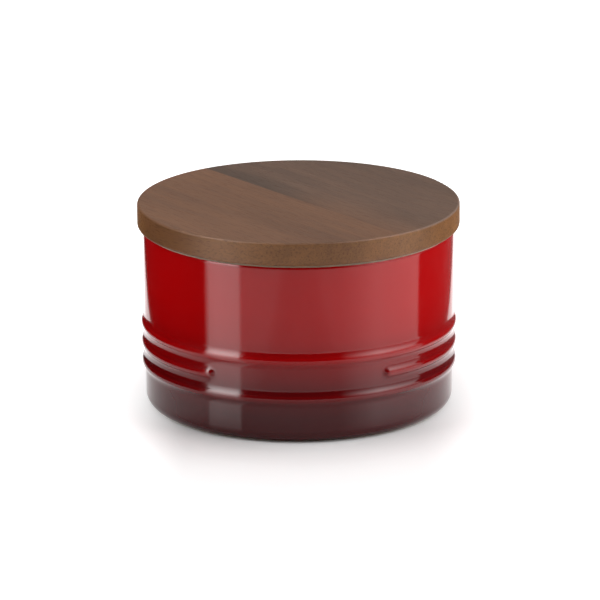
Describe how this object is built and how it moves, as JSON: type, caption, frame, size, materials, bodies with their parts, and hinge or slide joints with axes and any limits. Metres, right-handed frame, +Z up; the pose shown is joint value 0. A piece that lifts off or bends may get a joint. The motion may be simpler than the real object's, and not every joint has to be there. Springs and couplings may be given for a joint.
{
  "type": "storage jar",
  "caption": "Squat round glazed stoneware storage jar with raised rings round its lower wall and a turned wooden lid whose plug carries a silicone seal.",
  "frame": {"origin": "middle of the foot ring, on the surface that the jar stands on", "axes": "+Z up along the jar's axis, -Y towards the front, where the middle ring is left open"},
  "size_m": [0.15, 0.15, 0.096],
  "materials": {
    "glaze": "glossy red glaze, darker towards the foot",
    "warm_board": "oiled hardwood, satin",
    "dark_board": "oiled hardwood, satin",
    "silicone": "matt translucent silicone"
  },
  "bodies": {
    "jar": {"jar_body": "glaze"},
    "seal": {"lid_seal": "silicone"},
    "lid": {"lid_board_left": "warm_board", "lid_board_right": "dark_board"}
  },
  "joints": [
    {"name": "lid_lift", "type": "slide", "parent": "jar", "child": "seal", "axis": [0, 0, 1], "range_m": [0, 0.1]},
    {"name": "lid_turn", "type": "hinge", "parent": "seal", "child": "lid", "pos_m": [0, 0, 0.0805], "axis": [0, 0, 1], "continuous": true}
  ]
}
